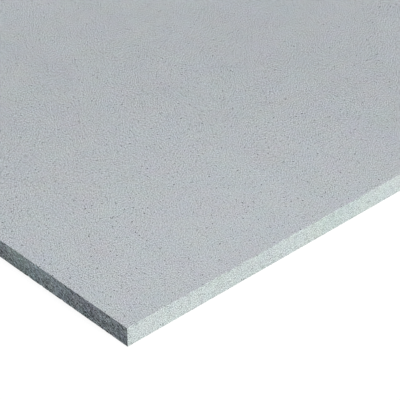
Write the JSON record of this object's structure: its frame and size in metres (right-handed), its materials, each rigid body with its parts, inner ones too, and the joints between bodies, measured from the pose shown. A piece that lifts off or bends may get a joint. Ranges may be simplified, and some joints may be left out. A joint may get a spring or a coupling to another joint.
{
  "type": "drywall sheet",
  "caption": "Flat rectangular sheet of unfaced gypsum fibre drywall board, square-edged, with a fine speckled grey face, trimmed long edges and rough-sawn ends.",
  "frame": {"origin": "middle of the back face, on the surface that the sheet lies on", "axes": "+X along the sheet's length, +Y across its width, +Z from the back out of the face"},
  "size_m": [2.4, 1.2, 0.0125],
  "materials": {
    "gypsum_fibre": "matte"
  },
  "bodies": {
    "root": {"board": "gypsum_fibre"}
  },
  "joints": []
}
